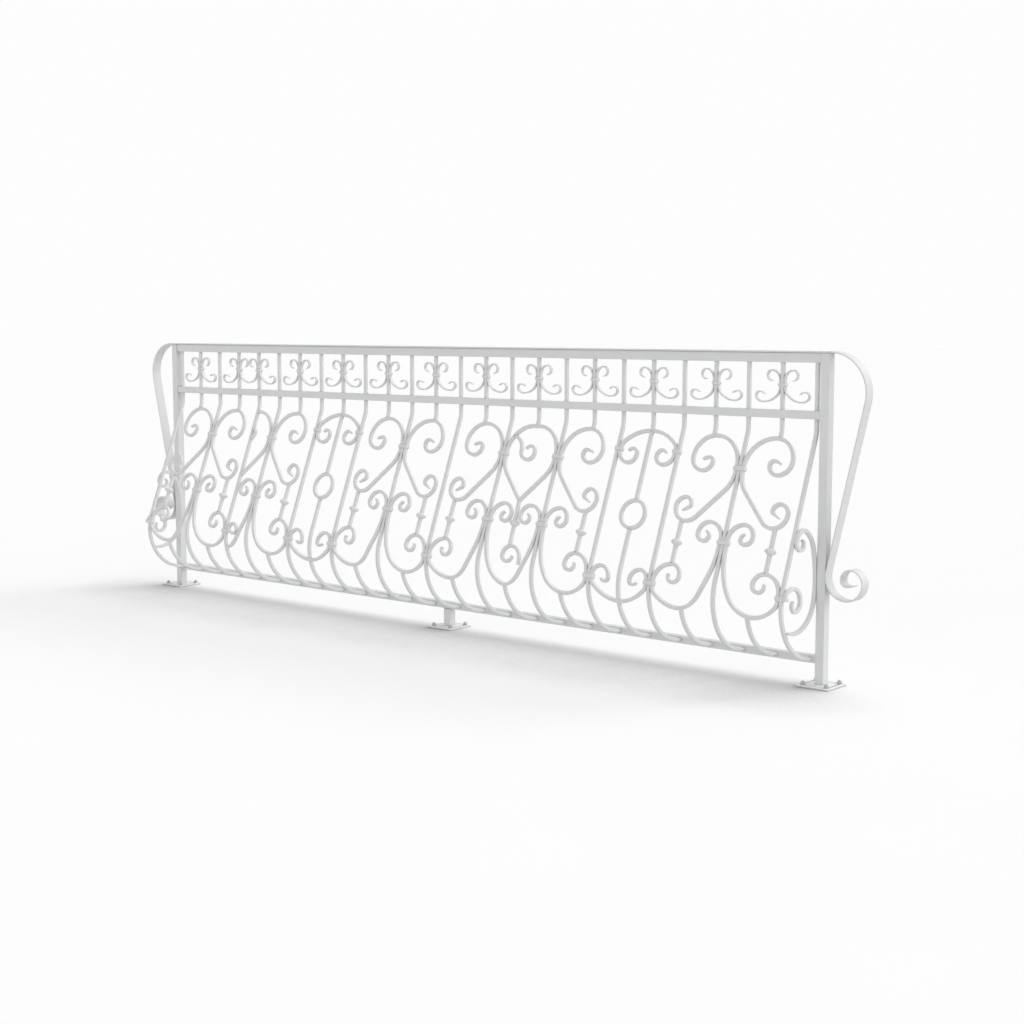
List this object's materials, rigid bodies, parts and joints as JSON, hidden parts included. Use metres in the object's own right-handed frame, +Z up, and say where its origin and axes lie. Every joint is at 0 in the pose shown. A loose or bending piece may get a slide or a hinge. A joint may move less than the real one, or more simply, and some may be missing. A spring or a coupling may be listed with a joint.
{
  "type": "wrought iron guard railing",
  "caption": "White painted wrought iron guard railing with a straight scroll frieze, a bowed lower scroll panel, flat cap with volute ends and posts on bolted base plates",
  "frame": {"origin": "centre of the underside of the middle base plate, on the floor", "axes": "+X along the railing to the right as seen from the bowed side, +Y away from the bowed side, +Z up"},
  "size_m": [3.352, 0.2461, 1.013],
  "materials": {
    "painted_steel": "satin"
  },
  "bodies": {
    "root": {"arch_scrolls": "painted_steel", "basin_scrolls": "painted_steel", "bottom_rail": "painted_steel", "centre_base_plate": "painted_steel", "centre_leg": "painted_steel", "foot_bars": "painted_steel", "frieze_bars": "painted_steel", "frieze_collars": "painted_steel", "frieze_scrolls": "painted_steel", "handrail_cap": "painted_steel", "heart_scrolls_1": "painted_steel", "heart_scrolls_2": "painted_steel", "heart_scrolls_3": "painted_steel", "heart_scrolls_4": "painted_steel", "heart_scrolls_5": "painted_steel", "heart_scrolls_6": "painted_steel", "knuckle_bars": "painted_steel", "left_base_plate": "painted_steel", "left_end_scroll": "painted_steel", "left_post": "painted_steel", "left_side_scroll": "painted_steel", "lyre_scrolls_1": "painted_steel", "lyre_scrolls_2": "painted_steel", "lyre_scrolls_3": "painted_steel", "lyre_scrolls_4": "painted_steel", "lyre_scrolls_5": "painted_steel", "lyre_scrolls_6": "painted_steel", "mid_rail": "painted_steel", "right_base_plate": "painted_steel", "right_end_scroll": "painted_steel", "right_post": "painted_steel", "right_side_scroll": "painted_steel", "ring_bars": "painted_steel", "rings": "painted_steel", "scroll_collars": "painted_steel", "shared_curl": "painted_steel", "shared_hook": "painted_steel", "top_rail": "painted_steel", "upright_00": "painted_steel", "upright_02": "painted_steel", "upright_04": "painted_steel", "upright_05": "painted_steel", "upright_07": "painted_steel", "upright_09": "painted_steel", "upright_11": "painted_steel", "upright_13": "painted_steel", "upright_15": "painted_steel", "upright_17": "painted_steel", "upright_19": "painted_steel", "upright_21": "painted_steel", "upright_23": "painted_steel", "upright_25": "painted_steel"}
  },
  "joints": []
}
